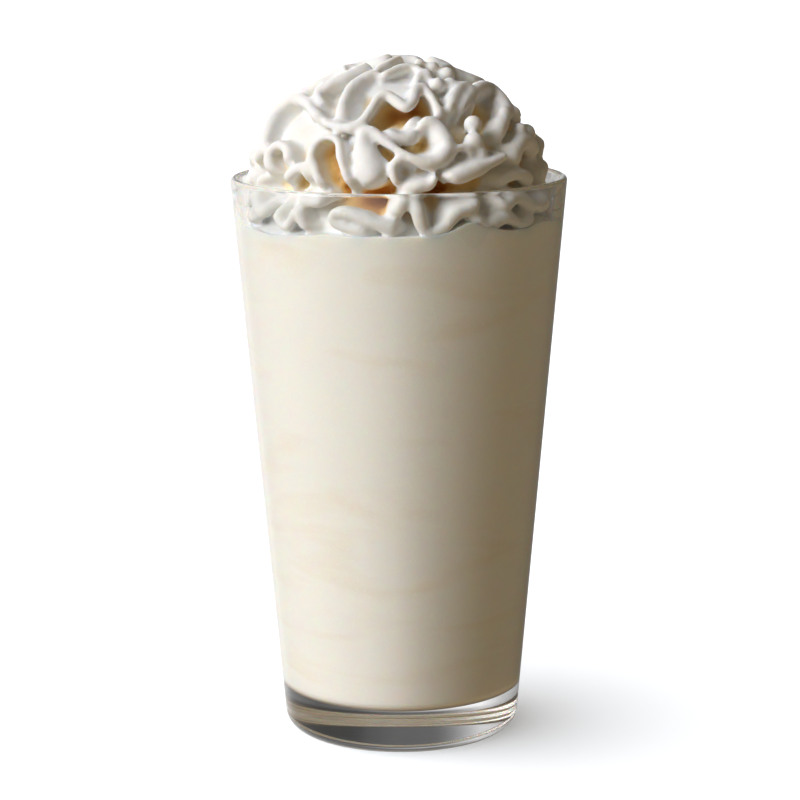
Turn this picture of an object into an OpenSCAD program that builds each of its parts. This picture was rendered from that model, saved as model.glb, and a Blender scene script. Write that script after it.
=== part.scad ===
// Vanilla milkshake in a conical pint glass, topped with a ruffled swirl of whipped cream.
// Millimetres, +Z up. The origin is on the table, on the axis of the glass.

/* [Glass] */
// Height of the glass, from the table to the top of the lip
glass_h = 150; // [120:1:200]
// Outer diameter at the lip
rim_d = 89; // [75:0.5:110]
// Outer diameter where the side, carried on straight, would meet the table
foot_d = 62.4; // [50:0.2:74]
// Thickness of the wall at the lip
lip_t = 2.2; // [1.6:0.1:3.6]
// Thickness of the wall at the floor of the cup
wall_t = 3.4; // [2.4:0.1:5]
// Thickness of the solid base, from the table to the floor of the cup
base_t = 12; // [6:0.5:20]
// Radius that rounds the foot's outer corner
foot_round = 5; // [2:0.5:7]
// Radius that rounds the corner between the wall and the floor of the cup
floor_round = 2.5; // [1.5:0.5:8]
// Width of the flat ring that the glass stands on
ring_w = 3.5; // [2:0.5:6]
// Height of the hollow under the base
punt_h = 0.8; // [0.5:0.1:3]

/* [Milkshake] */
// Depth from the top of the lip down to the surface of the milkshake
headspace = 11; // [6:0.5:30]

/* [Whipped cream] */
// Height of the peak above the lip
cream_rise = 32.5; // [20:0.5:55]
// Free width between the cream and the inside of the lip
rim_gap = 2.8; // [1.5:0.1:6]
// Gap between the cream and the wall where the cream is pressed against the glass
wall_gap = 0.3; // [0.1:0.05:0.6]
// Number of ruffled folds, one above the other, from the milkshake to the peak
folds = 5; // [4:1:6]
// Depth of the grooves between the folds
groove_d = 7; // [2:0.5:9]
// Length of one wave along a fold's edge
wave_len = 23; // [16:1:40]
// Height of the waves, as a share of the distance from one fold to the next
wave_share = 0.2; // [0:0.05:0.35]

/* [Hidden] */
arc_steps = 8;
turn_steps = 128;

// Points on an arc about [x, z], from angle a to angle b
function arc(x, z, radius, a, b) =
    [for (i = [0:arc_steps])
        let (t = a + (b - a) * i / arc_steps)
        [x + radius * cos(t), z + radius * sin(t)]];

// The outer side leans out by side_slope millimetres for each millimetre of height.
foot_r = foot_d / 2;
side_slope = (rim_d / 2 - foot_r) / glass_h;
side_lean = atan(side_slope);
function outer_r(z) = foot_r + side_slope * z;

// The lip is half round, and runs smoothly into both sides of the wall.
lip_round = lip_t / 2;
lip_z = glass_h - lip_round;
lip_x = outer_r(lip_z) - lip_round / cos(side_lean);

// The inner side runs from the lip down to the floor of the cup, where the wall is wall_t thick.
floor_r = outer_r(base_t) - wall_t;
lip_inner_r = lip_x - lip_round / cos(side_lean);
inner_slope = (lip_inner_r - floor_r) / (lip_z - base_t);
inner_lean = atan(inner_slope);
function inner_r(z) = floor_r + inner_slope * (z - base_t);

// A rounded corner's centre lies one radius above its level face and one radius in from its leaning face.
foot_x = outer_r(foot_round) - foot_round / cos(side_lean);
floor_z = base_t + floor_round;
floor_x = inner_r(floor_z) - floor_round / cos(inner_lean);

foot_arc = arc(foot_x, foot_round, foot_round, -90, -side_lean);
lip_arc = arc(lip_x, lip_z, lip_round, -side_lean, 180 - inner_lean);
floor_arc = arc(floor_x, floor_z, floor_round, -inner_lean, -90);
fill_z = glass_h - headspace;

// The hollow under the base is a shallow dome that meets the table at the inner edge of the standing ring.
punt_r = foot_x - ring_w;
punt_dome = [for (i = [0:arc_steps]) let (t = i / arc_steps) [punt_r * t, punt_h * (1 - t * t)]];

module glass() {
    color([0.86, 0.90, 0.90, 0.35])
        rotate_extrude($fn = turn_steps)
            polygon(concat(punt_dome, foot_arc, lip_arc, floor_arc, [[0, base_t]]));
}

module milkshake() {
    color([0.94, 0.90, 0.79])
        rotate_extrude($fn = turn_steps)
            polygon(concat([[0, base_t]], [for (i = [arc_steps:-1:0]) floor_arc[i]],
                           [[inner_r(fill_z), fill_z], [0, fill_z]]));
}

// The cream's outline without its grooves is followed from m = 0, at the milkshake's surface against the
// wall, to m = 1 at the peak. Up to neck_m it leaves the wall, and from there it is a dome, whose side is
// about dome_side_share times as long as its larger half-size. A higher dome_taper makes a sharper peak.
dome_r = inner_r(glass_h) - rim_gap;
dome_side_share = 1.3;
dome_taper = 1.25;
neck_m = headspace / (headspace + dome_side_share * max(dome_r, cream_rise));
function ease(t) = let (c = min(max(t, 0), 1)) c * c * (3 - 2 * c);
function neck_z(m) = fill_z + headspace * m / neck_m;
function neck_r(m) = inner_r(neck_z(m)) - wall_gap - (rim_gap - wall_gap) * ease(m / neck_m);
function dome_a(m) = 90 * (m - neck_m) / (1 - neck_m);
function outline(m) = m < neck_m
    ? [neck_r(m), neck_z(m)]
    : [dome_r * pow(max(cos(dome_a(m)), 0), dome_taper), glass_h + cream_rise * sin(dome_a(m))];

// The direction straight out of the outline at m
step = 0.01;
function outward(m) =
    let (d = outline(min(m + step, 1)) - outline(max(m - step, 0)))
    [d[1], -d[0]] / norm(d);

// A fold is one ridge of the swirl. It climbs by one fold for each turn. Its edge waves up and down, and the
// waves are as long at the peak as they are at the glass, because they are worked out from where a point
// lies. With height they drift by drift_x and drift_y of that height, so that folds don't match.
drift_x = 0.2;
drift_y = -0.3;
function wave(p, a) =
    wave_share * (sin(360 * (p[0] * cos(a) + drift_x * p[1]) / wave_len)
                  + sin(360 * (p[0] * sin(a) + drift_y * p[1]) / wave_len));

// The grooves and the waves fade in above the milkshake and fade out below the peak, over these shares of the
// outline. The waves need the longer way in, so that no ring of the grid passes the one below it.
groove_in = 0.08;
wave_in = 0.25;
fade_out = 0.15;
function groove_fade(m) = ease(m / groove_in) * ease((1 - m) / fade_out);
function wave_fade(m) = ease(m / wave_in) * ease((1 - m) / fade_out);

// 1 along a fold's edge and 0 along the bottom of a groove; a sharper crest leaves a wider groove
crest_sharpness = 1.4;
start_turn = 0.1;
function crest(m, a) = pow(0.5 + 0.5 * cos(360 * (folds * m - a / 360 + start_turn)), crest_sharpness);

function cream_point(m, a) =
    let (wm = m - wave_fade(m) * wave(outline(m), a) / folds,
         q = outline(wm) - groove_d * (1 - crest(m, a)) * groove_fade(m) * outward(wm))
    [q[0] * cos(a), q[0] * sin(a), q[1]];

// The surface is a grid of rings, ten to a fold, which follow the waves so that the folds' edges stay clean.
ring_n = 10 * folds - 2;
around_n = 96;
module whipped_cream() {
    rings = [for (i = [0:ring_n - 1], j = [0:around_n - 1]) cream_point(i / ring_n, 360 * j / around_n)];
    floor_i = len(rings);
    peak_i = floor_i + 1;
    last = (ring_n - 1) * around_n;
    sides = [for (i = [0:ring_n - 2], j = [0:around_n - 1])
        let (k = (j + 1) % around_n, low = i * around_n, high = low + around_n)
        each [[low + j, high + j, low + k], [low + k, high + j, high + k]]];
    caps = [for (j = [0:around_n - 1])
        let (k = (j + 1) % around_n)
        each [[floor_i, j, k], [peak_i, last + k, last + j]]];
    color([0.97, 0.95, 0.90])
        polyhedron(concat(rings, [[0, 0, fill_z], [0, 0, glass_h + cream_rise]]), concat(sides, caps));
}

glass();
milkshake();
whipped_cream();
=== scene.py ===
# %% [markdown]
# # A vanilla milkshake in a pint glass
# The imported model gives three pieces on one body: the glass, the milkshake that fills it, and the whipped
# cream on top. This lesson keeps their sizes and makes each one look like what it is. Everything is in
# metres, with the table at z = 0 and the glass standing on the axis.

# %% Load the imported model
import math

import bpy
import mathutils
import numpy as np
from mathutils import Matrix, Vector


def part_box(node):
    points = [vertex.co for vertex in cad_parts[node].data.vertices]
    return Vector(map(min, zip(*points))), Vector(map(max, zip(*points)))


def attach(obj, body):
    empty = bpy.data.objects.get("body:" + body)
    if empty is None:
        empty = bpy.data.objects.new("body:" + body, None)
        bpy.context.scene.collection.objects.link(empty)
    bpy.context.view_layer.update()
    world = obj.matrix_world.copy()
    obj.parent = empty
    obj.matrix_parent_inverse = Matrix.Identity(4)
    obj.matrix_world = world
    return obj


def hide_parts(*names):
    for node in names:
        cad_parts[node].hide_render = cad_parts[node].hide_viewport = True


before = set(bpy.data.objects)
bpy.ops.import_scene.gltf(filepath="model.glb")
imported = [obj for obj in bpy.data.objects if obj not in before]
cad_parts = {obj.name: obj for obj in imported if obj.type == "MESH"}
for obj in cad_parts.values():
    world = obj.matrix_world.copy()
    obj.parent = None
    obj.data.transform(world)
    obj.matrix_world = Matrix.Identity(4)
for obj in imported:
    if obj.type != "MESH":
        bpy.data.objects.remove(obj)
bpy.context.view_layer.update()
MM = 0.001

# %% [markdown]
# ## Sizes
# The glass is a cone with a round lip, so a handful of sizes settle it. Its height comes from the packed
# glass, and the rest are the same named sizes that the construction uses. The cream's outline starts at the
# milkshake's surface, follows the wall up to the lip, and is a dome above it.

# %% Sizes of the glass, the milkshake and the cream
cream_low, cream_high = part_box("whipped_cream")
GLASS_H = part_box("glass")[1].z / MM
FOOT_R = 31.2
RIM_R = 44.5
LIP_T = 2.2
WALL_T = 3.4
BASE_T = 12.0
FOOT_ROUND = 5.0
FLOOR_ROUND = 2.5
RING_W = 3.5
PUNT_H = 0.8
FILL_Z = cream_low.z / MM
CREAM_RISE = cream_high.z / MM - GLASS_H
RIM_GAP = 2.8
DOME_TAPER = 1.25
print("glass", round(GLASS_H, 1), "level", round(FILL_Z, 1), "rise", round(CREAM_RISE, 1))

# %% [markdown]
# A pressed glass leans out so that it leaves its mould. Both of its sides are straight, so each is one line
# with a slope, and the round corners are placed from those lines.

# %% The leaning sides
SIDE_SLOPE = (RIM_R - FOOT_R) / GLASS_H
SIDE_LEAN = math.atan(SIDE_SLOPE)


def outer_r(z):
    """The outside of the glass is a straight line from the foot to the rim."""
    return FOOT_R + SIDE_SLOPE * z


LIP_ROUND = LIP_T / 2
LIP_Z = GLASS_H - LIP_ROUND
LIP_X = outer_r(LIP_Z) - LIP_ROUND / math.cos(SIDE_LEAN)
FLOOR_R = outer_r(BASE_T) - WALL_T
INNER_SLOPE = (LIP_X - LIP_ROUND / math.cos(SIDE_LEAN) - FLOOR_R) / (LIP_Z - BASE_T)
INNER_LEAN = math.atan(INNER_SLOPE)


def inner_r(z):
    """The inside is a straight line too, from the floor of the cup to the lip, so the wall thins upwards."""
    return FLOOR_R + INNER_SLOPE * (z - BASE_T)


FOOT_X = outer_r(FOOT_ROUND) - FOOT_ROUND / math.cos(SIDE_LEAN)
FLOOR_Z = BASE_T + FLOOR_ROUND
FLOOR_X = inner_r(FLOOR_Z) - FLOOR_ROUND / math.cos(INNER_LEAN)
print("cup radius at the floor and the lip:", round(inner_r(BASE_T), 2), round(inner_r(GLASS_H), 2))

# %% [markdown]
# ## Mesh helpers
# A surface here is a grid of points worked out with numpy in one go. The grid is closed round its columns,
# and each open end is closed with one pole point, so every piece is watertight.

# %% A smooth step
def ease(t):
    """0 below 0, 1 above 1, and the smooth step t^2 (3 - 2t) between."""
    t = np.clip(t, 0, 1)
    return t * t * (3 - 2 * t)


print("ease at a quarter:", ease(0.25))

# %% A grid of points becomes a mesh
def grid_faces(rows, columns):
    """Quads (i, j), (i, j+1), (i+1, j+1), (i+1, j) between neighbouring rows, closed round the columns."""
    i, j = np.meshgrid(np.arange(rows - 1), np.arange(columns), indexing="ij")
    k = (j + 1) % columns
    this, following = i * columns, (i + 1) * columns
    return np.stack([this + j, this + k, following + k, following + j], axis=-1).reshape(-1, 4)


def closed_tube(points):
    """Points [row, column, xyz] form a tube, and the mean of each end row is the pole that closes it."""
    rows, columns, _ = points.shape
    poles = np.stack([points[0].mean(axis=0), points[-1].mean(axis=0)])
    j = np.arange(columns)
    k = (j + 1) % columns
    first_pole, last_pole = rows * columns, rows * columns + 1
    low = np.stack([k, j, np.full(columns, first_pole)], axis=-1)
    last = (rows - 1) * columns
    high = np.stack([last + j, last + k, np.full(columns, last_pole)], axis=-1)
    return np.concatenate([points.reshape(-1, 3), poles]), [grid_faces(rows, columns), low, high]


def mesh_object(name, parts):
    """Joins (points in mm, face arrays) pairs into one mesh object with smooth faces."""
    places = []
    faces = []
    first = 0
    for points, groups in parts:
        places.append(points)
        for group in groups:
            faces += (group + first).tolist()
        first += len(points)
    mesh = bpy.data.meshes.new(name)
    mesh.from_pydata((np.concatenate(places) * MM).tolist(), [], faces)
    mesh.shade_smooth()
    piece = bpy.data.objects.new(name, mesh)
    bpy.context.scene.collection.objects.link(piece)
    return piece


print("a tube of 3 rows and 4 columns has", len(grid_faces(3, 4)), "quads")

# %% [markdown]
# Things made in a round mould are drawn as half an outline and turned about the axis. 192 columns keep the
# rim's edge smooth. A rounded corner in an outline is a short arc.

# %% Turned outlines and arcs
COLUMNS = 192


def turn(outline):
    """Turns an outline of (radius, height) rows about the axis: x = r sin a, y = -r cos a."""
    outline = np.asarray(outline, float)
    a = np.linspace(0, 2 * np.pi, COLUMNS, endpoint=False)
    r, z = outline[:, :1], outline[:, 1:]
    return np.stack([r * np.sin(a), -r * np.cos(a), z + 0 * a], axis=-1)


def arc(x, z, radius, start, end, steps=16):
    """Points on a circle about (x, z), from one angle to another, in degrees."""
    t = np.radians(np.linspace(start, end, steps + 1))
    return np.stack([x + radius * np.cos(t), z + radius * np.sin(t)], axis=-1)


print("columns round the axis:", COLUMNS)

# %% [markdown]
# ## The camera
# A long lens from a little above the table, aimed at the middle of the drink, shows the rim as a
# thin ellipse and gives the sides a gentle taper. The lens is long, so the camera stands about 70 cm away.

# %% Camera
CAMERA_PLACE = (0.0, -709.3, 227.3)
CAMERA_DOWN = math.radians(10.99)
CAMERA_ROLL = -0.0056
camera = bpy.data.objects.new("camera", bpy.data.cameras.new("camera"))
camera.data.sensor_width = 36.0
camera.data.lens = 121.26
camera.data.clip_end = 50.0
camera.location = [c * MM for c in CAMERA_PLACE]
camera.rotation_mode = "QUATERNION"
ahead = np.array([0.0, math.cos(CAMERA_DOWN), -math.sin(CAMERA_DOWN)])
level = np.array([1.0, 0.0, 0.0])
above = np.cross(level, ahead)
side = math.cos(CAMERA_ROLL) * level + math.sin(CAMERA_ROLL) * above
top = math.cos(CAMERA_ROLL) * above - math.sin(CAMERA_ROLL) * level
camera_axes = mathutils.Matrix(np.stack([side, top, -ahead], axis=1).tolist())
camera.rotation_quaternion = camera_axes.to_quaternion()
bpy.context.scene.collection.objects.link(camera)
bpy.context.scene.camera = camera
print("camera at, mm:", CAMERA_PLACE)

# %% [markdown]
# ## The glass
# A pint glass is pressed in a mould and fire-polished, so it is one smooth surface with no seams. It could be
# a cylinder with a Solidify modifier, but its wall thins upwards and its base is thick, so the whole outline
# is drawn once, inside and out, and turned. Underneath, a shallow dome leaves a ring to stand on. The foot's
# arc has more steps than the others, because light that bends there shows every facet. The outline stops
# 1 mm from the axis, where a pole point closes it.

# %% Glass
FOOT_STEPS = 48
CLOSING_R = 1.0
t = np.linspace(0, 1, 24)[:, None]
punt = np.hstack([(FOOT_X - RING_W) * t, PUNT_H * (1 - t**2)])[1:]
foot = arc(FOOT_X, FOOT_ROUND, FOOT_ROUND, -90, -math.degrees(SIDE_LEAN), FOOT_STEPS)
lip = arc(LIP_X, LIP_Z, LIP_ROUND, -math.degrees(SIDE_LEAN), 180 - math.degrees(INNER_LEAN))
cup = arc(FLOOR_X, FLOOR_Z, FLOOR_ROUND, -math.degrees(INNER_LEAN), -90)
outline = np.concatenate([punt, foot, lip, cup, [[CLOSING_R, BASE_T]]])
glass = mesh_object("glass_blown", [closed_tube(turn(outline))])
glass.data.set_sharp_from_angle(angle=math.radians(30))
print("glass outline points:", len(outline))

# %% [markdown]
# ## The milkshake
# The drink takes its shape from the cup. If it only touched the glass, a film of air would show as a bright
# line, so it reaches a fifth of a millimetre into the wall.

# %% The milkshake's outline
BITE = 0.2
SURFACE_ROWS = 24
MIDDLE_SHARE = 0.03
shake_cup = arc(FLOOR_X, FLOOR_Z, FLOOR_ROUND + BITE, -90, -math.degrees(INNER_LEAN))
wall_z = np.append(np.linspace(FLOOR_Z + 2, FILL_Z - 0.5, 40), FILL_Z)
wall = np.stack([inner_r(wall_z) + BITE, wall_z], axis=-1)
across = np.linspace(1, MIDDLE_SHARE, SURFACE_ROWS)
surface = np.stack([(inner_r(FILL_Z) + BITE) * across, np.full(SURFACE_ROWS, FILL_Z)], axis=-1)[1:]
shake_outline = np.concatenate([[[CLOSING_R, BASE_T - BITE]], shake_cup, wall, surface])
shake_points = turn(shake_outline)
print("milkshake outline points:", len(shake_outline))

# %% [markdown]
# Where the cream is pressed against the glass, the milkshake's edge is pushed up or down a little. Three
# swells are placed on the front, and small waves run round the rest. The lift is full at the wall and fades
# towards the middle and downwards, so the drink stays one clean solid.

# %% The milkshake's uneven edge
LIFT_DEPTH = 16
LIFT_R = 38
SWELLS = ((3.2, 27, 9), (-1.0, -50, 14), (1.2, 60, 8))
WAVES_FROM, WAVES_OVER = 60, 20
from_top = np.clip((shake_outline[:, 1:] - FILL_Z + LIFT_DEPTH) / LIFT_DEPTH, 0, 1)
lift = from_top * np.clip(shake_outline[:, :1] / LIFT_R, 0, 1) ** 6
a = np.degrees(np.linspace(0, 2 * np.pi, COLUMNS, endpoint=False) + np.pi) % 360 - 180
swell = sum(tall * np.exp(-(((a - middle) / wide) ** 2)) for tall, middle, wide in SWELLS)
waves = 0.5 + 0.7 * np.sin(np.radians(7 * a + 40)) + 0.5 * np.sin(np.radians(12 * a))
swell = swell + waves * ease((abs(a) - WAVES_FROM) / WAVES_OVER)
shake_points[..., 2] += lift * swell
milkshake = mesh_object("milkshake_poured", [closed_tube(shake_points)])
milkshake.data.set_sharp_from_angle(angle=math.radians(40))
print("milkshake top, mm:", round(float(shake_points[..., 2].max()), 2))

# %% [markdown]
# ## The whipped cream
# Cream from a nozzle with deep flutes comes out as a fluted rope. As it piles up, the rope buckles, and the
# fins between its flutes turn into wavy ribbons that stand on edge. What shows is mostly those edges, thick
# and rounded, with deep warm hollows between them.
#
# One way is a rope swept along a spiral with noise on it, but noise never folds back on itself as buckled
# cream does. Here each ribbon is modelled as such: its edge runs over the outline of the heap, and its sheet
# stands inwards from the edge to a core. Ribbons, blobs and core are then fused into one smooth solid.

# %% The outline that the ribbons' edges lie on
DOME_R = inner_r(GLASS_H) - RIM_GAP
CREAM_BITE = 0.1
NECK_H = 5.5


def heap_radius(h):
    """Radius of the heap at height h above the lip: the dome r = R cos(a)^taper with sin(a) = h / rise, and
    below the lip the inside of the glass, less a gap that closes going down and ends as a small bite."""
    h = np.asarray(h, float)
    dome = DOME_R * np.sqrt(np.clip(1 - np.clip(h / CREAM_RISE, 0, 0.999) ** 2, 0, 1)) ** DOME_TAPER
    neck = inner_r(GLASS_H + h) - RIM_GAP + (RIM_GAP + CREAM_BITE) * ease(-h / NECK_H)
    return np.where(h >= 0, dome, neck)


def on_heap(azimuth, h, inset=0.0):
    """The point at an azimuth in degrees from the front and a height above the lip, moved in by `inset`."""
    turn_by = np.radians(azimuth)
    r = heap_radius(h) - inset
    return np.stack([r * np.sin(turn_by), -r * np.cos(turn_by), GLASS_H + h + 0 * r], axis=-1)


print("heap radius at the lip and halfway up:", np.round(heap_radius([0, CREAM_RISE / 2]), 1).tolist())

# %% [markdown]
# A ribbon stands straight out of the heap, so its maker needs to know which way is out at each point.

# %% The way out of the heap
NUDGE = 0.4
STEEPEST = 4


def unit(vectors):
    """Vectors scaled to length 1."""
    return vectors / np.maximum(np.linalg.norm(vectors, axis=-1, keepdims=True), 1e-6)


def heap_normal(points):
    """The way straight out of the heap: radially by 1, and up by how fast the radius shrinks with height."""
    h = points[:, 2] - GLASS_H
    slope = (heap_radius(h + NUDGE) - heap_radius(h - NUDGE)) / (2 * NUDGE)
    slope = np.where(h > -1, slope, 0.0)
    return unit(np.column_stack([unit(points[:, :2]), np.clip(-slope, 0, STEEPEST)]))


print("out of the heap at the lip:", np.round(heap_normal(on_heap(np.zeros(1), np.ones(1))), 2).tolist())

# %% [markdown]
# A ribbon's edge is drawn with a few points, as a modeller places the handles of a curve. One helper runs a
# smooth curve through them at even steps, and another irons the waves out of a curve.

# %% Smooth paths
STEP = 0.6


def smooth_path(points):
    """A Catmull-Rom curve through the points, resampled so that its points lie about one step apart."""
    p = np.asarray(points, float)
    p = np.concatenate([2 * p[:1] - p[1:2], p, 2 * p[-1:] - p[-2:-1]])
    t = np.linspace(0, len(p) - 3, 40 * (len(p) - 3), endpoint=False)
    i = t.astype(int)
    u = (t - i)[:, None]
    a, b, c, d = p[i], p[i + 1], p[i + 2], p[i + 3]
    bend, twist = 2 * a - 5 * b + 4 * c - d, 3 * b - a - 3 * c + d
    fine = 0.5 * (2 * b + (c - a) * u + bend * u**2 + twist * u**3)
    length = np.concatenate([[0], np.cumsum(np.linalg.norm(np.diff(fine, axis=0), axis=1))])
    even = np.linspace(0, length[-1], max(int(length[-1] / STEP), 6))
    return np.stack([np.interp(even, length, fine[:, axis]) for axis in range(p.shape[1])], axis=-1)


def relax(path, reach):
    """Each point becomes the mean of its neighbours on the path, weighted by a bell curve of that reach."""
    i = np.arange(len(path))
    weight = np.exp(-0.5 * ((i[:, None] - i) * STEP / reach) ** 2)
    return weight @ path / weight.sum(axis=1, keepdims=True)


print("points on a 6 mm path:", len(smooth_path([(0, 0, 0), (3, 0, 0), (6, 0, 0)])))

# %% [markdown]
# ### One ribbon
# The free edge of a ribbon is its hem. The hem swells and thins a little as real cream does, and its ends
# dive into the heap so that no cut end shows.

# %% The hem of a ribbon
def hem_radius(travelled, edge, places):
    """The numbers in `edge`, spread evenly along the hem, times 1 plus two small waves along it."""
    uneven = 1 + 0.14 * np.sin(0.42 * travelled + places[0, 0])
    uneven = uneven + 0.08 * np.sin(1.05 * travelled + places[0, 1])
    edge = np.atleast_1d(edge)
    along = np.linspace(0, travelled[-1], len(edge))
    return (np.interp(travelled, along, edge) * uneven)[:, None, None]


def dive_in(hem, out, travelled, dive, depth):
    """The hem sinks by 0.6 depth (1 - ease(way / reach))^1.5 within reach of each of its two ends."""
    sink = np.zeros((len(hem), 1))
    for reach, way in zip(dive, (travelled, travelled[::-1])):
        sink[:, 0] += depth * 0.6 * (1 - ease(way / reach)) ** 1.5
    return hem - out * sink


# %% [markdown]
# The sheet hangs between the hem and its root. A wavy hem on a smooth root gives ruffles that hang like
# awnings, which is how a buckled fin looks.

# %% The sheet of a ribbon
LOOSE = 6.0
SHEET_T = np.linspace(0, 1, 9)[:, None]


def sheet_between(hem, out, lean):
    """The curve (1-t)^2 hem + 2t(1-t) middle + t^2 root. The root is the hem made smooth and moved inwards,
    uphill and sideways by the three numbers of `lean`. The sheet's own direction comes with it."""
    depth, rise, aside = lean
    soft = relax(hem, LOOSE)
    right = unit(np.cross(np.array([0.0, 0.0, 1.0]), soft))
    soft_out = heap_normal(soft)
    root = soft - soft_out * depth + np.cross(soft_out, right) * rise + right * aside
    middle = hem - out * depth * 0.5 + np.cross(out, right) * rise * 0.3 + right * aside * 0.4
    hem, middle, root = hem[:, None], middle[:, None], root[:, None]
    t = SHEET_T
    sheet = (1 - t) ** 2 * hem + 2 * t * (1 - t) * middle + t**2 * root
    inward = unit(2 * (1 - t) * (middle - hem) + 2 * t * (root - middle))
    return sheet, inward


# %% [markdown]
# The section across a ribbon is a round hem, an upper face that runs on flush from it, and an underside that
# is hollowed and thickens again towards the root.

# %% A whole ribbon
def thicken(hem, sheet, inward, radius):
    """A loop round the sheet at each point of the hem: a cap of a circle, then the sheet plus and minus the
    radius times 1 + t / 4 above and 1 - 0.6 sin(pi t / 0.85) + 0.6 ease(2t - 1) below."""
    across = unit(np.cross(np.gradient(hem, axis=0), inward[:, 0]))[:, None]
    across = unit(across - (across * inward).sum(axis=-1, keepdims=True) * inward)
    flip = 1.0 if across[..., 2].mean() > 0 else -1.0
    across = across * flip
    above = 1 + 0.25 * SHEET_T
    hollowed = 0.6 * np.sin(np.pi * np.clip(SHEET_T / 0.85, 0, 1))
    under = 1 - hollowed + 0.6 * ease((SHEET_T - 0.5) / 0.5)
    sheet = sheet + inward[:, :1] * radius
    phi = np.radians(np.linspace(-80, 80, 9))[:, None]
    cap = sheet[:, :1] - inward[:, :1] * radius * np.cos(phi) + across[:, :1] * radius * np.sin(phi)
    upper, lower = sheet + across * above * radius, sheet - across * under * radius
    loop = np.concatenate([cap, upper, lower[:, ::-1]], axis=1)
    return loop if flip > 0 else loop[:, ::-1]


def ribbon(places, edge, lean, dive=(5.0, 5.0)):
    """A sheet of cream whose hem runs over the heap through `places`, which are (azimuth, height) or
    (azimuth, height, inset)."""
    places = np.array([tuple(p) + (0.0,) * (3 - len(p)) for p in places], float)
    hem = smooth_path(on_heap(places[:, 0], places[:, 1], places[:, 2]))
    out = heap_normal(hem)
    travelled = np.arange(len(hem)) * np.linalg.norm(hem[1] - hem[0])
    hem = dive_in(hem, out, travelled, dive, depth=lean[0])
    sheet, inward = sheet_between(hem, out, lean)
    return closed_tube(thicken(hem, sheet, inward, hem_radius(travelled, edge, places)))


print("corners in one ribbon:", len(ribbon([(0, 0), (10, 5)], 1.5, (8, 3, 0))[0]))

# %% [markdown]
# ### Blobs
# Where the rope tore, it left small rounded lumps. A ball does for each, set so that its outer side touches
# the heap's outline.

# %% A blob
def blob(azimuth, h, radius, inset=0.0):
    """A ball of that radius inside the heap's outline: x = r sin a cos b, y = r sin a sin b, z = r cos a."""
    centre = on_heap(np.array([azimuth]), np.array([h]))
    centre = centre - heap_normal(centre) * (radius + inset)
    polar = np.radians(np.linspace(12, 168, 10))[:, None]
    around = np.linspace(0, 2 * np.pi, 18, endpoint=False)
    x, y = np.sin(polar) * np.cos(around), np.sin(polar) * np.sin(around)
    ball = np.stack([x, y, np.cos(polar) + 0 * around], axis=-1)
    return closed_tube(centre + ball[::-1] * radius)


print("corners in one blob:", len(blob(0, 5, 2)[0]))

# %% [markdown]
# ### The front of the heap
# The ribbons on the front are placed one by one, because they are large and each has its own shape. Each line
# has the radius of the hem in millimetres, or several radii along it, then the lean of the sheet, then the
# hem's way over the heap as azimuth, height and inset. A crown of waves goes near the top.

# %% Ribbons near the top
TOP = {
    "billow": ((1.8, 2.0, 1.6, 1.3), (8, 5, 0),
               [(-66, 6), (-72, 11, -1), (-80, 16, -1.5), (-79, 19.5, -2), (-72, 21.8, -2), (-57, 20.8, -0.5),
                (-47, 18.8), (-36, 16.6)]),
    "crown": ((1.3, 1.4, 1.5, 1.3), (8.5, 8, 0),
              [(-42, 18.2), (-35.5, 16.4), (-24, 15.3), (-18.3, 16.2), (-14.6, 19.3, -0.5), (-11.5, 22.6, -1),
               (-7, 23.5, -1), (-0.7, 22, -1), (3.9, 20.4, -1), (8, 22, -1), (11.5, 24.4, -0.5), (17.5, 25.1),
               (20, 22.5), (21, 19.2), (23, 16.4)]),
    "petal": ((1.5, 1.6, 1.3), (6, 6, 2),
              [(-25, 15.4, 2), (-29.2, 17.5, 0.5), (-32, 20.5), (-35.4, 24.9), (-32.5, 27.2), (-23.8, 28.3),
               (-12, 27.2, 1)]),
    "slab": ((1.7, 2.1, 1.9), (7, 2, 0),
             [(-61, 23.2, -1), (-53, 26.2, -1.5), (-46, 29.2, -1.5), (-40, 30.8, -0.8)]),
    "spur": ((1.2, 0.9), (7, 3, 0), [(-45, 20.5, 1), (-56, 23.4, -0.8), (-66, 26.6, -1)]),
    "curl": ((1.2, 1.1, 0.7), (5, 2, 0), [(-26, 28.7), (-17.8, 30.6), (-2.4, 31.7), (30, 32)]),
    "shelf": (1.25, (7, 3, 0),
              [(-21.5, 29.6, 0.5), (-12.9, 28.4), (3, 29.8), (19, 29.9), (23.5, 28.9), (16, 27.6),
               (6.5, 27.2, 1.5)]),
    "needle": ((1.2, 1.5, 1.9, 1.6, 1.2), (8, 3, -1.5),
               [(22.5, 16.8, 1), (29, 20.7), (43, 24.6, -0.5), (53, 25.2, -0.5), (52, 23.6), (39, 21, 0.5),
                (28.5, 17.6, 1)]),
    "arch": ((1.5, 2.1, 2.4, 2.2, 1.8), (9, 3, 2.5),
             [(38, 18.5, 2), (51, 23, 0.5), (68, 24.6, -1), (86, 23.4, -1), (70, 19.5, -1), (53, 15, 0),
              (44, 11.5, 1)]),
}
print("ribbons near the top:", len(TOP))

# %% [markdown]
# One long fold runs down from the crown, swings round in a ring and ends inside it. Its hem is broad at the
# foot and thin at the turn.

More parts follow.
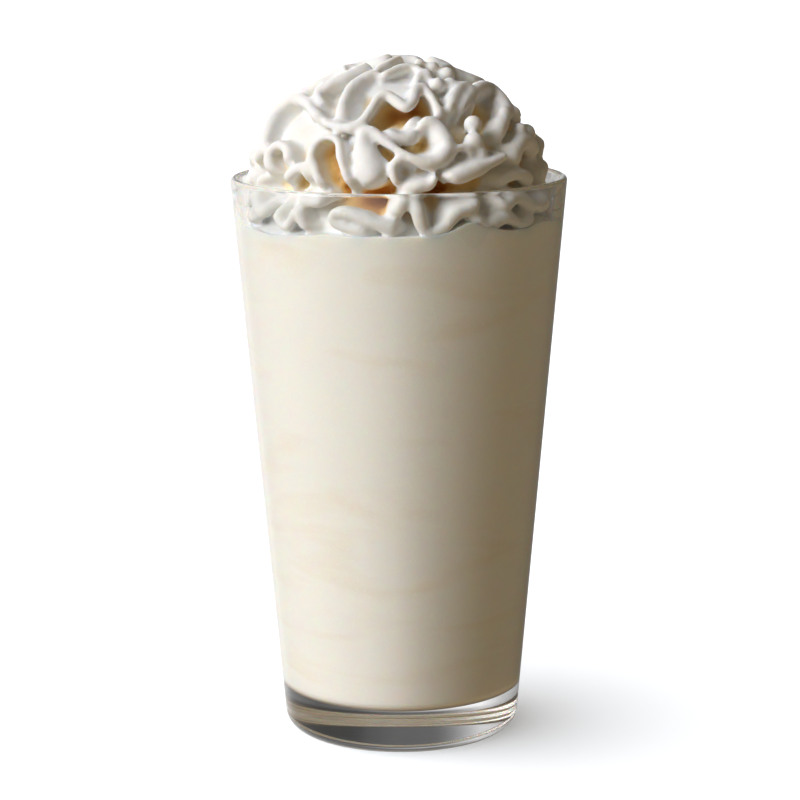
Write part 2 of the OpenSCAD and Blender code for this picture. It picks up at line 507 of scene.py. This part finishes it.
# %% Ribbons in the middle
MIDDLE = {
    "fold": ((3.4, 4.1, 3.4, 1.7, 1.2, 1.2, 1.5, 2.2, 2.4, 1.8, 1.3), (9, 2.5, -1),
             [(-8.2, 0, 2), (-9.4, 3, -0.8), (-11.9, 8, -0.6), (-14.8, 11.8), (-15.2, 14.4), (-12.6, 15.2),
              (-8.9, 14.2), (-4.2, 12.2), (0.8, 10.1, -0.5), (6.2, 8.2, -1), (11.6, 7.2, -1), (17.2, 8.4, -1),
              (20.6, 11.2, -0.5), (20, 14.5), (17, 16.9), (12.9, 17.2), (10.4, 15.4, 1), (11, 13, 3)]),
    "inner": ((1.2, 1.6, 1.5), (7, 6, 0),
              [(-9.5, 15.7, 2), (-3.6, 13.9, 1), (2.3, 12.6, 1.5), (7.5, 13.4, 2), (11.9, 16, 3)]),
    "inner_top": (1.1, (6, 1, 0),
                  [(0.9, 14.2, 4), (4.2, 15.8, 4), (8.6, 17.3, 4), (13, 17.7, 4), (18, 16.6, 4)]),
}
print("ribbons in the middle:", len(MIDDLE))

# %% [markdown]
# The lowest folds above the glass rest on the milkshake and stand up past the lip as arches and hooks.

# %% Ribbons that stand at the lip
LIP_FOLDS = {
    "left_arch": ((1.6, 1.5, 1.0, 1.1, 1.3), (8, 3, 0),
                  [(-28, -1.5), (-33.3, 3.9), (-36.6, 6.9), (-37, 10.4), (-33.9, 12.7), (-29.5, 13.2),
                   (-25.6, 12), (-23.5, 8.6), (-21, 4.7), (-18.3, 1.2), (-17.9, -1.5)]),
    "left_lump": (1.4, (6, 2, 0), [(-27.5, 4.4, 3), (-25.5, 3.6, 3)]),
    "hook": ((1.3, 1.2, 1.1, 1.5), (8, 3, 3),
             [(3.3, -0.4, 1), (-1.3, 2.1), (-2.9, 5.2), (-2, 7.2), (0.8, 8.1), (3.4, 7.2, 0.5), (6, 4.4, 2)]),
    "hook_low": ((1.3, 1.5, 1.2, 1.0), (8, 3, 0),
                 [(0, -0.4, 0.5), (6.5, 0.8, -0.5), (11.2, 1.2, -0.5), (13.4, 3, -0.5), (12.6, 5.4, 0)]),
    "small_arch": (1.1, (7, 2, 0), [(21, 5.5), (21.6, 9), (26, 10.7), (30.4, 9.5), (31, 6, 1)]),
    "wedge": ((2.3, 2.0, 1.5, 0.9), (9, 5, 0),
              [(17, 2.6, -1), (22.5, 3.2, -1.5), (31.9, 5, -1.5), (48.5, 8.1, -1)]),
    "left_loops": (1.5, (8, 4, 0), [(-57, 1), (-63, 6.5, -0.5), (-58.9, 10, -0.5), (-51.2, 8.9), (-49, 3)]),
    "left_foot": (1.4, (8, 3, 0), [(-51, -1), (-46.5, 3), (-39.5, 5), (-35.7, -0.5)]),
    "left_side": (1.6, (8, 4, 0), [(-78, 2), (-73, 7, -0.5), (-66, 8), (-62, 3)]),
    "lobes": (2.6, (8, 5, 0), [(51, 3), (55, 7.5), (61.5, 10, -0.5), (70, 9.5, -0.5), (76, 4)]),
    "right_band": (1.9, (8, 4, 0), [(38, -1, 0.5), (44, 1.6, 0.5), (52, 2.2), (60, 0.6), (66, -2)]),
}
print("ribbons at the lip:", len(LIP_FOLDS))

# %% [markdown]
# Below the lip the cream is pressed against the glass, and its folds show there as flattened loops.

# %% Ribbons pressed against the glass
PRESSED = {
    "pressed_loop": ((2.0, 1.4, 1.4, 2.0, 2.4), (8, -1.5, 0),
                     [(-6.6, -10.4), (-16.8, -9.2), (-23.4, -7.4), (-22.9, -5.2), (-18, -5.2), (-10.5, -7),
                      (-2.4, -9), (3, -11)]),
    "pressed_hook": ((2.2, 1.8, 1.6, 2.0), (9, 3, 0),
                     [(-3.4, -8.4, 1), (0.4, -4), (3.6, -2.2), (6.6, -5.2), (8.5, -9.4), (12, -10.6),
                      (16.5, -9), (20.6, -5.9), (27, -4.6), (34, -3.6)]),
    "pressed_right": (1.8, (8, 3, 0),
                      [(22.4, -9.3), (27.6, -7.7), (33, -9.5), (41, -8), (50, -9.8), (60, -7)]),
    "pressed_edge": (1.7, (8, 3, 0), [(34, -1.5), (40, -4.6), (48, -3.4), (57, -5.8), (68, -3.8)]),
    "pressed_frill": (1.3, (8, 3, 0),
                      [(-49, -3), (-48, -7.7), (-43.2, -10), (-38.6, -6), (-35, -9.5), (-29.4, -10.5)]),
    "pressed_left": (1.5, (8, 3, 0), [(-41, 0), (-37, -3), (-29, -3.2), (-24, -1)]),
    "pressed_far": (1.6, (8, 3, 0), [(-72, -7), (-64, -4), (-58, -7.5), (-52, -4)]),
}
print("ribbons pressed against the glass:", len(PRESSED))

# %% [markdown]
# Most ribbons dive over 5 mm at their ends. A few end bluntly, over 2 mm, as a torn or nozzle-cut end does.
# The blobs come after them: azimuth, height, radius and inset.

# %% Make the ribbons and blobs of the front
BLUNT = ("slab", "wedge", "spur", "curl", "hook_low", "left_lump")
parts = []
for name, (edge, lean, way) in {**TOP, **MIDDLE, **LIP_FOLDS, **PRESSED}.items():
    dive = (2.0, 2.0) if name in BLUNT else (5.0, 5.0)
    parts.append(ribbon(way, edge, lean, dive))
BLOBS = [(27, 28.3, 2.2, -0.5), (47, 29.8, 1.9, -0.6), (54, 28.3, 2.2, -0.5), (33, 30.5, 1.6, -0.6),
         (31, 26.3, 2.1, -0.4), (42, 26.2, 2.0, -0.4), (36.5, 16.4, 2.5, -1), (33.4, 12.2, 2.7, -1),
         (35.5, 9.5, 2.2), (62, 18, 1.8, -1), (73, 17.5, 2.4, -1), (66, 13.6, 2.0, -1), (78, 12.5, 2.8, -0.5),
         (-86, 14, 2.2)]
parts += [blob(*place) for place in BLOBS]
print("ribbons and blobs on the front:", len(parts))

# %% [markdown]
# ### The sides and the back
# Round the sides and the back the rope buckles just as much, but no fold is special, so there the ribbons
# come from a rule: a meander, which is a wave whose sides lean over until it nearly closes on itself.

# %% A meander
OVERHANG = 0.7


def meander(h, start, stop, wave, rise, phase):
    """Azimuth = a + overhang wave sin(2 q) / 2 pi and height = h + rise cos(q), where q counts waves along a;
    both drift slowly, so that no two folds match."""
    a = np.arange(start, stop, wave / 8)
    q = 2 * np.pi * (a - start) / wave + phase
    drift = 0.25 * np.sin(0.31 * q + 3 * phase)
    azimuth = a + OVERHANG * wave / (2 * np.pi) * np.sin(2 * q) * (1 + drift)
    height = h + rise * np.cos(q) * (1 + 1.5 * drift) + 0.8 * np.sin(0.53 * q + phase)
    inset = 1.0 + 1.6 * np.sin(0.77 * q + 2 * phase)
    return np.stack([azimuth, np.minimum(height, CREAM_RISE - 1), inset], axis=-1)


print("points on one meander:", len(meander(0, 60, 300, 25, 3, 0)))

# %% [markdown]
# Seven meanders, one above the other, go round from the right to the left. Each line has the height, the
# length of a wave in millimetres, the height of the waves, and the azimuths where it starts and stops. One
# last ribbon closes the top behind the crown. The dice have a fixed seed, so each run gives the same heap.

# %% Ribbons round the sides and the back
RINGS = (
    (-8.0, 19, 2.0, 58, 304),
    (-1.0, 17, 3.0, 66, 302),
    (6.0, 18, 3.2, 78, 290),
    (13.0, 17, 3.2, 90, 280),
    (20.0, 15, 3.0, 98, 264),
    (26.0, 13, 2.0, 88, 276),
    (29.6, 10, 1.2, 70, 292),
)
SUMMIT = [(110, 30.6, 1), (165, 31.2, 0.8), (225, 31, 0.8), (285, 31.2, 0.8)]
dice = np.random.default_rng(7)
for h, wave_mm, rise, start, stop in RINGS:
    wave = math.degrees(wave_mm / float(heap_radius(h)))
    places = meander(h, start, stop, wave, rise, dice.uniform(0, 6))
    parts.append(ribbon(places, dice.uniform(1.3, 2.2, 14), (9.0, 7.0, 0.0)))
parts.append(ribbon(SUMMIT, (1.5, 2.0, 1.7), (6.0, 1.0, 0.0)))
SPOTS = 16
spot_heights = dice.uniform(0, 28, SPOTS)
spot_radii = dice.uniform(1.4, 2.5, SPOTS)
spots = np.column_stack([np.linspace(92, 276, SPOTS), spot_heights, spot_radii])
parts += [blob(*spot) for spot in spots]
print("ribbons and blobs in all:", len(parts))

# %% [markdown]
# ### The core
# The ribbons stand on a core, which is the heap's outline set back by a few millimetres. Pockets in it make
# the deep hollows: each has its azimuth, height, width, tallness and depth, and one with a negative depth
# fills a gap. Near the milkshake the core comes out to the glass, so that cream and drink meet all round.
# The set-back grows in steps, each of a depth that starts at a height and is full so many millimetres above.

# %% The core that the ribbons stand on
POCKETS = [(-5, 18, 7, 3, 5), (7, 18.5, 8, 3, 5.5), (15, 20, 5, 3, 5), (13.5, 12.6, 4, 2.5, 7),
           (-31, 6, 5, 5, 3), (-3, 9, 4, 3, 3.5), (17, 1, 5, 3, 5), (11, -6.5, 4, 3, 5),
           (20, -1.5, 7, 2, 5), (-25, -1, 4, 2, 4), (51, 19.5, 8, 3.5, 5), (34, -6, 9, 2, 4),
           (-58, 14, 16, 6, -3.5), (-19, -6.5, 4, 1.2, 3), (48, 11, 5, 4, 3.5), (64, 5, 5, 5, 4),
           (78, 9, 6, 8, 4), (50, -6.5, 8, 2, 3), (-6, -3.8, 12, 3.6, 9.5), (-20, 13, 3, 2, -3),
           (13.5, 5.5, 3, 2, -3), (42, 28, 18, 2.5, 1.5), (-80, 25, 22, 6, -1.5)]
SET_BACK = ((4.4, -11.8, 1.0), (1.8, -9.5, 6), (-2.8, 21, 6))
dome_h = CREAM_RISE * np.sin(np.radians(np.linspace(3, 84, 34)))
h = np.concatenate([[-14.6, -14.4], np.linspace(-14, 0, 29), dome_h])[:, None]
around = np.linspace(0, 2 * np.pi, 180, endpoint=False)
azimuth = (np.degrees(around) + 180) % 360 - 180
inset = sum((deep * ease((h - low) / over) for deep, low, over in SET_BACK), 0.15)
free = ease((h + 11) / 1.5)
pockets = sum(deep * np.exp(-(((azimuth - az) / wide) ** 2) - ((h - up) / tall) ** 2)
              for az, up, wide, tall, deep in POCKETS)
lumps = 0.5 * np.sin(5 * around + 0.35 * h) + 0.35 * np.sin(9 * around - 0.5 * h)
print("depth of the core below the outline, mm:", np.round([inset.min(), (inset + free * pockets).max()], 1))

# %% [markdown]
# The pockets and some soft lumps fade out at the milkshake, where the core's foot is drawn in to a rounded
# edge. The core's top is lowered, so that the ribbons stand above it there too.

# %% The core as a mesh
CORE_DROP = 2.2
THINNEST = 0.6
core_r = np.maximum(heap_radius(h) - (inset + free * pockets) + free * lumps, THINNEST)
core_r[:2] = core_r[2] * np.array([[0.8], [0.97]])
core_z = GLASS_H + h - CORE_DROP * ease((h - 10) / 20)
core = np.stack([core_r * np.sin(around), -core_r * np.cos(around), core_z + 0 * around], axis=-1)
parts.append(closed_tube(core))
print("core height, mm:", round(float(core_z.max() - core_z.min()), 1))

# %% [markdown]
# ### One solid
# Ribbons, blobs and core pass through each other. A voxel Remesh keeps only their common outside, and a
# little smoothing rounds the creases where they meet, as soft cream closes them. Both are baked into the
# mesh.

# %% Fuse everything into one solid
VOXEL = 0.65
cream = mesh_object("cream_piped", parts)
fuse = cream.modifiers.new("fuse", "REMESH")
fuse.mode = "VOXEL"
fuse.voxel_size = VOXEL * MM
fuse.use_smooth_shade = True
soften = cream.modifiers.new("soften", "SMOOTH")
soften.factor = 0.5
soften.iterations = 3
fused = bpy.data.meshes.new_from_object(cream.evaluated_get(bpy.context.evaluated_depsgraph_get()))
cream.modifiers.clear()
cream.data = fused
cream.data.shade_smooth()
print("cream triangles:", len(cream.data.loops) // 2)

# %% [markdown]
# Light that reaches the bottom of a hollow has passed through cream several times and comes out golden. This
# is painted into the colour of the hollows as painted shade: each point keeps how deep it lies below the
# outline, as an attribute of the mesh. Depth counts less below the lip and near the axis, where light reaches
# the cream from more sides.

# %% How deep each point of the cream lies
DEEPEST = 12
LESS_BELOW_LIP = 0.24
LESS_NEAR_AXIS = 0.5
LIP_FADE = 3
AXIS_R, AXIS_FADE = 6, 10
co = np.empty(len(cream.data.vertices) * 3, np.float32)
cream.data.vertices.foreach_get("co", co)
co = co.reshape(-1, 3) / MM
height = co[:, 2] - GLASS_H
from_axis = np.linalg.norm(co[:, :2], axis=1)
below = heap_radius(np.clip(height, -14.5, CREAM_RISE - 0.2)) - from_axis
below = np.clip(below * np.linalg.norm(heap_normal(co)[:, :2], axis=1), 0, DEEPEST)
near_axis = 1 - ease((from_axis - AXIS_R) / AXIS_FADE)
hollow = below / DEEPEST * (1 - LESS_BELOW_LIP * ease(-height / LIP_FADE)) * (1 - LESS_NEAR_AXIS * near_axis)
# The attribute holds the painted shade of the hollows: 0 at the outline, more the deeper a point lies.
attribute = cream.data.attributes.new("hollow", "FLOAT", "POINT")
attribute.data.foreach_set("value", hollow.astype(np.float32))
print("depth of hollows, mm:", np.round(np.percentile(below, [5, 50, 95]), 1).tolist())

# %% [markdown]
# ## Materials
# Each finish is a small tree of nodes. The helpers below make the pieces that the finishes share: noise,
# bubbles, a change of range, a relief and a blend of two colours. All patterns read Object coordinates, in
# metres, so they keep their size on every piece.

# %% A new material, and a change of range
def new_material(name):
    """A material's nodes and links and its Principled shader, ready to be set."""
    material = bpy.data.materials.new(name)
    material.use_nodes = True
    tree = material.node_tree
    return material, tree.nodes, tree.links, tree.nodes["Principled BSDF"]


def ranged(nodes, links, value, span, result, smooth=False):
    """The value from span[0] to span[1] becomes result[0] to result[1], on a line or by a smooth step."""
    node = nodes.new("ShaderNodeMapRange")
    if smooth:
        node.interpolation_type = "SMOOTHSTEP"
    for name, number in zip(("From Min", "From Max", "To Min", "To Max"), span + result):
        node.inputs[name].default_value = number
    links.new(value, node.inputs["Value"])
    return node.outputs["Result"]


print("a range has a straight and a smooth form")

# %% [markdown]
# Two textures are shared: cloudy noise, which can be drawn out one way, and round cells for bubbles.

# %% Noise and bubbles
def noise(nodes, links, scale, stretch=(1.0, 1.0, 1.0), detail=2.0, bend=0.0):
    """Noise on Object coordinates with `scale` features to the metre; a low stretch number draws it out."""
    place = nodes.new("ShaderNodeTexCoord")
    spread = nodes.new("ShaderNodeMapping")
    spread.inputs["Scale"].default_value = stretch
    links.new(place.outputs["Object"], spread.inputs["Vector"])
    texture = nodes.new("ShaderNodeTexNoise")
    texture.inputs["Scale"].default_value = scale
    texture.inputs["Detail"].default_value = detail
    texture.inputs["Distortion"].default_value = bend
    links.new(spread.outputs["Vector"], texture.inputs["Vector"])
    return texture.outputs["Fac"]


def bubbles(nodes, links, scale, size):
    """1 outside, falling to 0 at the middle of round cells: a Voronoi distance cut off at `size`."""
    place = nodes.new("ShaderNodeTexCoord")
    cells = nodes.new("ShaderNodeTexVoronoi")
    cells.inputs["Scale"].default_value = scale
    links.new(place.outputs["Object"], cells.inputs["Vector"])
    return ranged(nodes, links, cells.outputs["Distance"], (0.0, size), (0.0, 1.0))


print("noise is", round(1000 / 45, 1), "mm a feature at 45 to the metre")

# %% [markdown]
# A texture turns into a finish by raising the surface a little, or by choosing between two colours.

# %% Relief, sums and blends
def relief(nodes, links, height, depth, under=None):
    """A Bump node that raises the surface by height times depth, in metres, on top of another relief."""
    bump = nodes.new("ShaderNodeBump")
    bump.inputs["Strength"].default_value = 1.0
    bump.inputs["Distance"].default_value = depth
    links.new(height, bump.inputs["Height"])
    if under is not None:
        links.new(under, bump.inputs["Normal"])
    return bump.outputs["Normal"]


def combine(nodes, links, operation, one, other):
    """A Math node of two sockets."""
    node = nodes.new("ShaderNodeMath")
    node.operation = operation
    links.new(one, node.inputs[0])
    links.new(other, node.inputs[1])
    return node.outputs[0]


def blend_colour(nodes, links, factor, start, end, kind="MIX"):
    """A colour that goes from start to end as the factor goes from 0 to 1; either may be a socket. The kind
    MULTIPLY goes from start to start times end."""
    mix = nodes.new("ShaderNodeMix")
    mix.data_type = "RGBA"
    mix.blend_type = kind
    links.new(factor, mix.inputs["Factor"])
    for socket, colour in ((mix.inputs[6], start), (mix.inputs[7], end)):
        if isinstance(colour, tuple):
            socket.default_value = colour + (1.0,)
        else:
            links.new(colour, socket)
    return mix.outputs[2]


print("in a colour blend, input 6 is the start and input 7 is the end")

# %% [markdown]
# ### Clear glass
# Pressed glass is clear, with a faint waviness from the mould that makes its reflections waver. Light that
# falls through it onto the drink would need many caustic paths, so rays of shadow and diffuse light pass
# straight through with a small loss. So do rays that have bounced a dozen times inside the wall, which would
# otherwise end as black.

# %% Clear glass
def clear_glass():
    """Principled glass, mixed with a Transparent shader for the rays that may pass straight through."""
    material, nodes, links, shader = new_material("clear_glass")
    shader.inputs["Base Color"].default_value = (1.0, 1.0, 1.0, 1)
    shader.inputs["Roughness"].default_value = 0.0
    shader.inputs["IOR"].default_value = 1.5
    shader.inputs["Transmission Weight"].default_value = 1.0
    ripple = noise(nodes, links, scale=45.0, stretch=(1.0, 1.0, 0.3))
    links.new(relief(nodes, links, ripple, 0.00006), shader.inputs["Normal"])
    rays = nodes.new("ShaderNodeLightPath").outputs
    through = combine(nodes, links, "MAXIMUM", rays["Is Shadow Ray"], rays["Is Diffuse Ray"])
    trapped = ranged(nodes, links, rays["Ray Depth"], (12.0, 12.5), (0.0, 1.0))
    open_way = nodes.new("ShaderNodeBsdfTransparent")
    open_way.inputs["Color"].default_value = (0.95, 0.96, 0.955, 1)
    either = nodes.new("ShaderNodeMixShader")
    links.new(combine(nodes, links, "MAXIMUM", through, trapped), either.inputs["Fac"])
    links.new(shader.outputs["BSDF"], either.inputs[1])
    links.new(open_way.outputs["BSDF"], either.inputs[2])
    links.new(either.outputs["Shader"], nodes["Material Output"].inputs["Surface"])
    return material


clear = clear_glass()
print("nodes in the glass:", len(clear.node_tree.nodes))

# %% [markdown]
# ### Vanilla milkshake
# A milkshake is thick and cloudy, so light goes a few millimetres into it and comes out soft: that is
# subsurface scattering, which reaches furthest in red. Slightly darker wisps show where it is less stirred,
# and fine froth lies against the glass. Its underside gets painted shade, a darker colour where little light
# gets below it.

# %% Vanilla milkshake
def vanilla_milkshake():
    """Cream-coloured wisps and froth, painted shade underneath, with scattering over 3.5 mm."""
    material, nodes, links, shader = new_material("vanilla_milkshake")
    drawn_out = noise(nodes, links, scale=38.0, stretch=(0.6, 0.6, 2.6), detail=4.0, bend=0.8)
    wisps = ranged(nodes, links, drawn_out, (0.5, 0.72), (0.0, 1.0))
    milky = blend_colour(nodes, links, wisps, (0.945, 0.912, 0.835), (0.9, 0.845, 0.735))
    froth = bubbles(nodes, links, 900.0, 0.32)
    frothy = blend_colour(nodes, links, froth, (0.97, 0.945, 0.885), milky)
    facing = nodes.new("ShaderNodeNewGeometry")
    upright = nodes.new("ShaderNodeSeparateXYZ")
    links.new(facing.outputs["Normal"], upright.inputs["Vector"])
    # Painted shade: the colour darkens where the surface faces down.
    underside_shade = ranged(nodes, links, upright.outputs["Z"], (-0.95, -0.5), (1.0, 0.0))
    colour = blend_colour(nodes, links, underside_shade, frothy, (0.3, 0.28, 0.25))
    gloss = ranged(nodes, links, noise(nodes, links, 60.0), (0.3, 0.7), (0.34, 0.48))
    links.new(colour, shader.inputs["Base Color"])
    links.new(relief(nodes, links, froth, 0.00003), shader.inputs["Normal"])
    links.new(gloss, shader.inputs["Roughness"])
    shader.inputs["Subsurface Weight"].default_value = 1.0
    shader.inputs["Subsurface Radius"].default_value = (1.0, 0.6, 0.35)
    shader.inputs["Subsurface Scale"].default_value = 0.0035
    return material


shake_paint = vanilla_milkshake()
print("nodes in the milkshake:", len(shake_paint.node_tree.nodes))

# %% [markdown]
# ### Whipped cream
# Whipped cream is a foam: nearly white, matt, with a fine grain and small pores. Painted shade darkens the
# hollows: a colour ramp reads how deep a point lies, and goes from white on the ribbons through pale gold to a
# deep caramel at the bottom of the hollows. Patches of a warmer white keep the ribbons from being one flat
# colour.

# %% The colour of the cream, with painted shade in the hollows
def cream_colour_and_shade(nodes, links):
    """The painted shade of the hollows, a ramp over the attribute `hollow`, times a warm white in patches."""
    depth = nodes.new("ShaderNodeAttribute")
    depth.attribute_name = "hollow"
    # Painted shade: the ramp darkens the colour to gold and caramel the deeper a point lies in a hollow.
    hollow_shade_ramp = nodes.new("ShaderNodeValToRGB")
    outer, deep = hollow_shade_ramp.color_ramp.elements
    outer.position, outer.color = 0.36, (0.82, 0.825, 0.81, 1)
    deep.position, deep.color = 0.85, (0.62, 0.25, 0.04, 1)
    hollow_shade_ramp.color_ramp.elements.new(0.53).color = (0.88, 0.66, 0.3, 1)
    links.new(depth.outputs["Fac"], hollow_shade_ramp.inputs["Fac"])
    patches = ranged(nodes, links, noise(nodes, links, 85.0, detail=3.0, bend=0.5), (0.48, 0.75), (0.0, 1.0))
    return blend_colour(nodes, links, patches, hollow_shade_ramp.outputs["Color"], (1.0, 0.98, 0.91), kind="MULTIPLY")


# %% [markdown]
# The rest of the cream's finish is its foam: a grain, scattered pores and a soft glow from inside.

# %% Whipped cream
def whipped_cream():
    """The foam with painted shade in its hollows, a grain 0.22 mm deep, pores 0.06 mm deep and scattering over
    1.2 mm.
    """
    material, nodes, links, shader = new_material("whipped_cream")
    links.new(cream_colour_and_shade(nodes, links), shader.inputs["Base Color"])
    grain = relief(nodes, links, noise(nodes, links, 420.0, detail=4.0), 0.00022)
    pores = relief(nodes, links, bubbles(nodes, links, 620.0, 0.2), 0.00006, under=grain)
    links.new(pores, shader.inputs["Normal"])
    gloss = ranged(nodes, links, noise(nodes, links, 150.0), (0.3, 0.7), (0.52, 0.7))
    links.new(gloss, shader.inputs["Roughness"])
    shader.inputs["Specular IOR Level"].default_value = 0.25
    shader.inputs["Subsurface Weight"].default_value = 1.0
    shader.inputs["Subsurface Radius"].default_value = (1.0, 0.8, 0.6)
    shader.inputs["Subsurface Scale"].default_value = 0.0012
    return material


cream_paint = whipped_cream()
print("nodes in the cream:", len(cream_paint.node_tree.nodes))

# %% [markdown]
# ## Put the pieces in place
# Every piece rides on the imported model's one body, stands for the plain piece of the imported model, which
# is hidden, and gets its material.

# %% Materials and bodies of the pieces
PIECES = (
    (glass, clear, "glass"),
    (milkshake, shake_paint, "milkshake"),
    (cream, cream_paint, "whipped_cream"),
)
for piece, paint, node in PIECES:
    piece.data.materials.clear()
    piece.data.materials.append(paint)
    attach(piece, "root")
    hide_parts(node)
print("pieces:", [piece.name for piece, paint, node in PIECES])

# %% [markdown]
# ## The floor
# The floor is pale and several metres wide, so that its edge is out of sight. It glows a little, which keeps
# it near white. It doesn't light the drink and doesn't show in the glass, so the room alone shapes the drink.

# %% Floor
floor_mesh = bpy.data.meshes.new("floor")
floor_mesh.from_pydata([(-6, -4, 0), (6, -4, 0), (6, 12, 0), (-6, 12, 0)], [], [(0, 1, 2, 3)])
floor = bpy.data.objects.new("floor", floor_mesh)
bpy.context.scene.collection.objects.link(floor)
floor.location.z = -0.0002
pale, nodes, links, shader = new_material("pale_floor")
shader.inputs["Base Color"].default_value = (0.76, 0.79, 0.84, 1)
shader.inputs["Roughness"].default_value = 0.7
shader.inputs["Specular IOR Level"].default_value = 0.2
shader.inputs["Emission Color"].default_value = (1, 1, 1, 1)
shader.inputs["Emission Strength"].default_value = 0.17
floor.data.materials.append(pale)
floor.visible_diffuse = False
floor.visible_glossy = False
floor.visible_transmission = False
print("floor size, m:", list(floor.dimensions)[:2])

# %% [markdown]
# ## Light
# One broad sun from the front left models the drink, and a soft lamp from behind lights the far side of the
# cream. The floor has its own broad light from above, so that its shadow stays faint. Light linking says
# which pieces each lamp reaches.

# %% Helpers for lamps
def lamp(name, kind, energy, toward):
    """A lamp of that kind, turned so that it shines towards a direction."""
    new = bpy.data.objects.new(name, bpy.data.lights.new(name, kind))
    new.data.energy = energy
    new.rotation_mode = "QUATERNION"
    new.rotation_quaternion = mathutils.Vector(toward).to_track_quat("-Z", "Y")
    bpy.context.scene.collection.objects.link(new)
    return new


def only_for(light, *pieces):
    """The lamp lights these pieces and no others."""
    group = bpy.data.collections.new(light.name + "_lights")
    for piece in pieces:
        group.objects.link(piece)
    light.light_linking.receiver_collection = group


# %% [markdown]
# The sun's direction comes from two angles: how far round to the left of the viewer it stands, and how high.
# A wide sun makes soft shading, as a large window does.

# %% Key, back and floor lights
KEY_AZIMUTH = math.radians(60)
KEY_HEIGHT = math.radians(30)
key_aside = math.sin(KEY_AZIMUTH) * math.cos(KEY_HEIGHT)
key_ahead = math.cos(KEY_AZIMUTH) * math.cos(KEY_HEIGHT)
key = lamp("key", "SUN", 3.35, (key_aside, key_ahead, -math.sin(KEY_HEIGHT)))
key.data.angle = math.radians(45)
key.data.color = (0.99, 0.99, 1.03)
only_for(key, glass, milkshake, cream)

back = lamp("back", "SPOT", 4.2, (0.08, -0.46, -0.185))
back.data.shadow_soft_size = 0.09
back.data.spot_size = math.radians(34)
back.data.spot_blend = 1.0
back.location = (-0.08, 0.46, 0.33)
back.visible_camera = False
only_for(back, milkshake, cream)

wash = lamp("floor_wash", "SUN", 5.0, (0.5, 0.1, -1.0))
wash.data.angle = math.radians(80)
only_for(wash, floor)
print("lamps:", key.name, back.name, wash.name)

# %% [markdown]
# ## The room
# Glass shows little but the room around it. This room has a bright card on the left and a dark one on the
# right, which the mirrored and the bent rays see, and it turns dark overhead, so that the glass gets dark
# lines along its edges. Mirrored rays see the dark part from another angle than rays that have gone through
# the glass.

# %% What the glass sees of the room
CARDS = ((0.06, 0.6), (0.16, 1.0), (0.42, 0.9), (0.55, 0.5), (0.68, 0.16), (0.86, 0.08))
FIRST_CARD, LAST_CARD = 0.5, 0.14


def room_colour(nodes, links, split, rays):
    """A ramp of greys from left to right, blended to near black overhead."""
    x, z = split["X"], split["Z"]
    cards = nodes.new("ShaderNodeValToRGB")
    first, last = cards.color_ramp.elements
    first.color = (FIRST_CARD,) * 3 + (1,)
    last.color = (LAST_CARD,) * 3 + (1,)
    for position, shade in CARDS:
        cards.color_ramp.elements.new(position).color = (shade, shade, shade, 1)
    links.new(ranged(nodes, links, x, (-1.0, 1.0), (0.0, 1.0), smooth=True), cards.inputs["Fac"])
    through = rays["Is Transmission Ray"]
    mirrored = ranged(nodes, links, through, (0.0, 1.0), (1.0, 0.0), smooth=True)
    high_mirrored = ranged(nodes, links, z, (0.03, 0.18), (0.0, 0.9), smooth=True)
    high_through = ranged(nodes, links, z, (0.0, 0.22), (0.0, 0.88), smooth=True)
    right_mirrored = ranged(nodes, links, x, (-0.5, 0.1), (0.0, 1.0), smooth=True)
    right_through = ranged(nodes, links, x, (-0.75, -0.15), (0.0, 1.0), smooth=True)
    up_mirrored = combine(nodes, links, "MULTIPLY", high_mirrored, mirrored)
    up_through = combine(nodes, links, "MULTIPLY", high_through, through)
    dark_mirrored = combine(nodes, links, "MULTIPLY", up_mirrored, right_mirrored)
    dark_through = combine(nodes, links, "MULTIPLY", up_through, right_through)
    dark = combine(nodes, links, "ADD", dark_mirrored, dark_through)
    return blend_colour(nodes, links, dark, cards.outputs["Color"], (0.02, 0.02, 0.02))


# %% [markdown]
# Soft fill light is warm. It is stronger from below, as light thrown back by a table is, and weak from above.
# What lies behind the drink is plain white.

# %% The world
def studio():
    """The fill for diffuse rays, white for what is seen directly, and the room for all other rays."""
    world = bpy.data.worlds.new("studio")
    world.use_nodes = True
    world.cycles.sampling_method = "NONE"
    nodes, links = world.node_tree.nodes, world.node_tree.links
    rays = nodes.new("ShaderNodeLightPath").outputs
    place = nodes.new("ShaderNodeTexCoord")
    split = nodes.new("ShaderNodeSeparateXYZ")
    links.new(place.outputs["Generated"], split.inputs["Vector"])
    upwards = ranged(nodes, links, split.outputs["Z"], (-0.4, 0.3), (0.0, 1.0), smooth=True)
    fill = blend_colour(nodes, links, upwards, (0.355, 0.268, 0.165), (0.1, 0.078, 0.048))
    room = room_colour(nodes, links, split.outputs, rays)
    lit = blend_colour(nodes, links, rays["Is Diffuse Ray"], room, fill)
    seen = blend_colour(nodes, links, rays["Is Camera Ray"], lit, (1.0, 1.0, 1.0))
    links.new(seen, nodes["Background"].inputs["Color"])
    return world


bpy.context.scene.world = studio()
print("nodes in the room:", len(bpy.context.scene.world.node_tree.nodes))

# %% [markdown]
# Light bends and bounces many times inside a thick glass base, so rays get more bounces than usual. The
# Standard view keeps the whites white.

# %% Bounces and view
scene = bpy.context.scene
scene.view_settings.view_transform = "Standard"
scene.cycles.max_bounces = 24
scene.cycles.transmission_bounces = 16
scene.cycles.glossy_bounces = 16
scene.cycles.transparent_max_bounces = 16
print("bounces:", scene.cycles.max_bounces)
